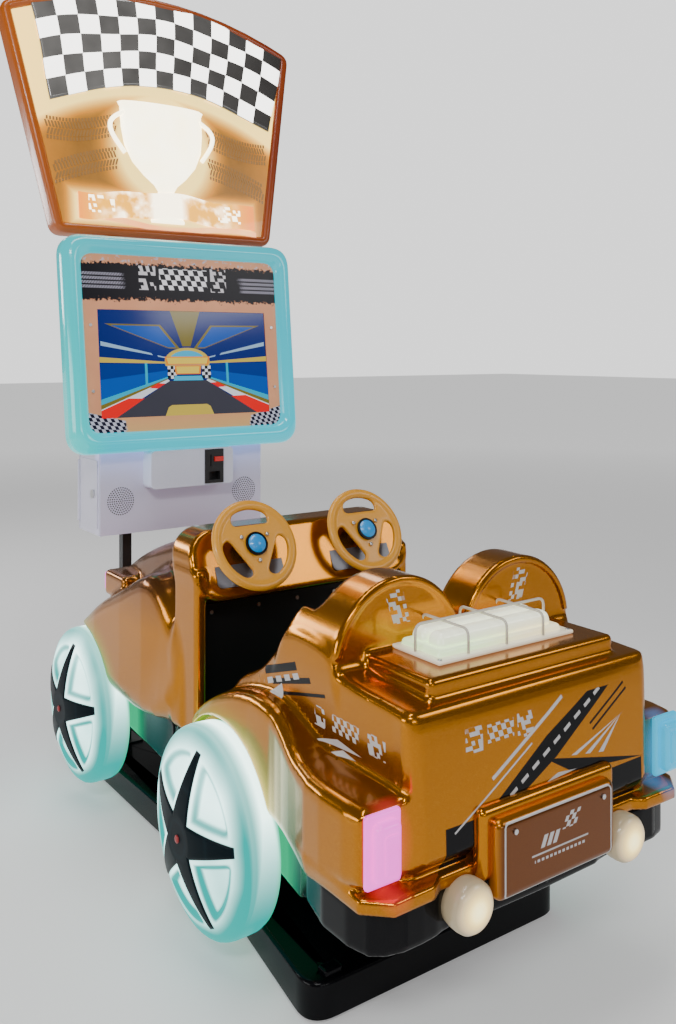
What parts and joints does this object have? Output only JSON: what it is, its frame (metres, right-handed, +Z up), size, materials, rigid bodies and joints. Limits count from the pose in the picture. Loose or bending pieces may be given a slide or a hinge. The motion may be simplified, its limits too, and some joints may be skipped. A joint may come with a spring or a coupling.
{
  "type": "sit-down racing cabinet",
  "caption": "Coin-operated sit-down racing cabinet: a rocking open car with two steering wheels on a plinth, facing a screen tower with a flared marquee.",
  "frame": {"origin": "middle of the overall footprint, on the floor", "axes": "+Z up, +Y forward from the car's tail to the screen tower, +X to the riders' right"},
  "size_m": [0.841, 1.5397, 2.0448],
  "materials": {
    "gold_body": "metallic candy gold gel coat on glass-fibre",
    "black_plastic": "gloss black",
    "black_steel": "black powder coat",
    "grey_steel": "light grey paint",
    "bare_steel": "plain steel",
    "zinc_screws": "zinc plated",
    "glow_white": "translucent white, lit from inside",
    "star_dark": "dark film",
    "cyan_shell": "translucent turquoise, lit from inside",
    "panel_print": "printed peach plastic",
    "screen": "lit display",
    "marquee_trim": "translucent orange brown",
    "marquee_print": "printed, lit from behind",
    "board": "green circuit board",
    "coin_white": "white moulding",
    "coin_black": "black",
    "red_button": "red",
    "yellow_wheel": "orange yellow",
    "plate_grey": "grey frame, black middle",
    "blue_button": "translucent blue",
    "pink_lens": "translucent pink",
    "cyan_lens": "translucent cyan",
    "cream_lens": "translucent cream",
    "rubber_foot": "black rubber",
    "speaker_cone": "black paper cone and steel basket",
    "guard_wire": "chromed wire",
    "bronze": "bearing bronze"
  },
  "bodies": {
    "stand": {"base_shell": "black_plastic", "base_frame": "black_steel", "levelling_feet": "rubber_foot", "stand_posts": "black_steel", "monitor_cabinet": "grey_steel", "coin_housing": "coin_white", "coin_acceptor": "coin_black", "coin_chute": "bare_steel", "cash_box": "bare_steel", "speaker_drivers": "speaker_cone", "game_board": "board", "power_supply": "bare_steel", "power_inlet": "coin_black", "screen_frame": "cyan_shell", "bezel_panel": "panel_print", "lcd_panel": "screen", "lcd_bracket": "black_steel", "screen_led_strip": "glow_white", "marquee_housing": "marquee_trim", "marquee_face": "marquee_print", "marquee_light_board": "glow_white", "marquee_bracket": "black_steel", "panel_screws": "zinc_screws", "pivot_bearings": "bare_steel", "gear_motor": "grey_steel"},
    "door": {"service_door": "grey_steel", "door_lock": "zinc_screws"},
    "coin_return": {"coin_return_button": "red_button"},
    "crank": {"crank": "bare_steel"},
    "rod": {"connecting_rod": "bare_steel"},
    "car": {"pivot_shaft": "bare_steel", "rocker_frame": "black_steel", "rear_body_shell": "gold_body", "front_body_shell": "gold_body", "skirt_shell": "black_plastic", "kick_panel": "black_plastic", "body_screws": "zinc_screws", "plate_box": "gold_body", "steering_plates": "plate_grey", "steering_bearings": "bronze", "wheel_shells_rear": "glow_white", "wheel_shells_front": "glow_white", "wheel_stars": "star_dark", "wheel_lamp_boards": "board", "tail_lamp_bases": "gold_body", "tail_lamp_lens_left": "pink_lens", "tail_lamp_lens_right": "cyan_lens", "marker_lamps": "cream_lens", "headlamp_lenses": "pink_lens", "bulkhead_lamp_base": "plate_grey", "bulkhead_lamp_lens": "cream_lens", "bulkhead_lamp_guard": "guard_wire"},
    "steering_left": {"steering_wheel_left": "yellow_wheel", "steering_shaft_left": "bare_steel", "button_housing_left": "coin_black"},
    "horn_left": {"horn_button_left": "blue_button"},
    "steering_right": {"steering_wheel_right": "yellow_wheel", "steering_shaft_right": "bare_steel", "button_housing_right": "coin_black"},
    "horn_right": {"horn_button_right": "blue_button"}
  },
  "joints": [
    {"name": "car_rock", "type": "hinge", "parent": "stand", "child": "car", "pos_m": [0, -0.07385, 0.12], "axis": [1, 0, 0], "range_deg": [-3, 3]},
    {"name": "crank_spin", "type": "hinge", "parent": "stand", "child": "crank", "pos_m": [0.025, 0.19615, 0.105], "axis": [1, 0, 0], "continuous": true},
    {"name": "rod_swing", "type": "hinge", "parent": "car", "child": "rod", "pos_m": [0, 0.21215, 0.23], "axis": [1, 0, 0], "range_deg": [-3, 3]},
    {"name": "steer_left", "type": "hinge", "parent": "car", "child": "steering_left", "pos_m": [-0.138, -0.07385, 0.682], "axis": [0, -0.8829, 0.4695], "range_deg": [-110, 110]},
    {"name": "steer_right", "type": "hinge", "parent": "car", "child": "steering_right", "pos_m": [0.138, -0.07385, 0.682], "axis": [0, -0.8829, 0.4695], "range_deg": [-110, 110]},
    {"name": "horn_press_left", "type": "slide", "parent": "steering_left", "child": "horn_left", "axis": [0, 0.8829, -0.4695], "range_m": [0, 0.003], "stiffness_N_per_m": 800, "springref_m": -0.002},
    {"name": "horn_press_right", "type": "slide", "parent": "steering_right", "child": "horn_right", "axis": [0, 0.8829, -0.4695], "range_m": [0, 0.003], "stiffness_N_per_m": 800, "springref_m": -0.002},
    {"name": "coin_return_press", "type": "slide", "parent": "stand", "child": "coin_return", "axis": [0, 1, 0], "range_m": [0, 0.003], "stiffness_N_per_m": 600, "springref_m": -0.002},
    {"name": "service_door_swing", "type": "hinge", "parent": "stand", "child": "door", "pos_m": [-0.232, 0.66515, 0.716], "axis": [0, 0, -1], "range_deg": [0, 110]}
  ],
  "couplings": [
    {"joint": "rod_swing", "follows": "car_rock", "ratio": -1}
  ]
}
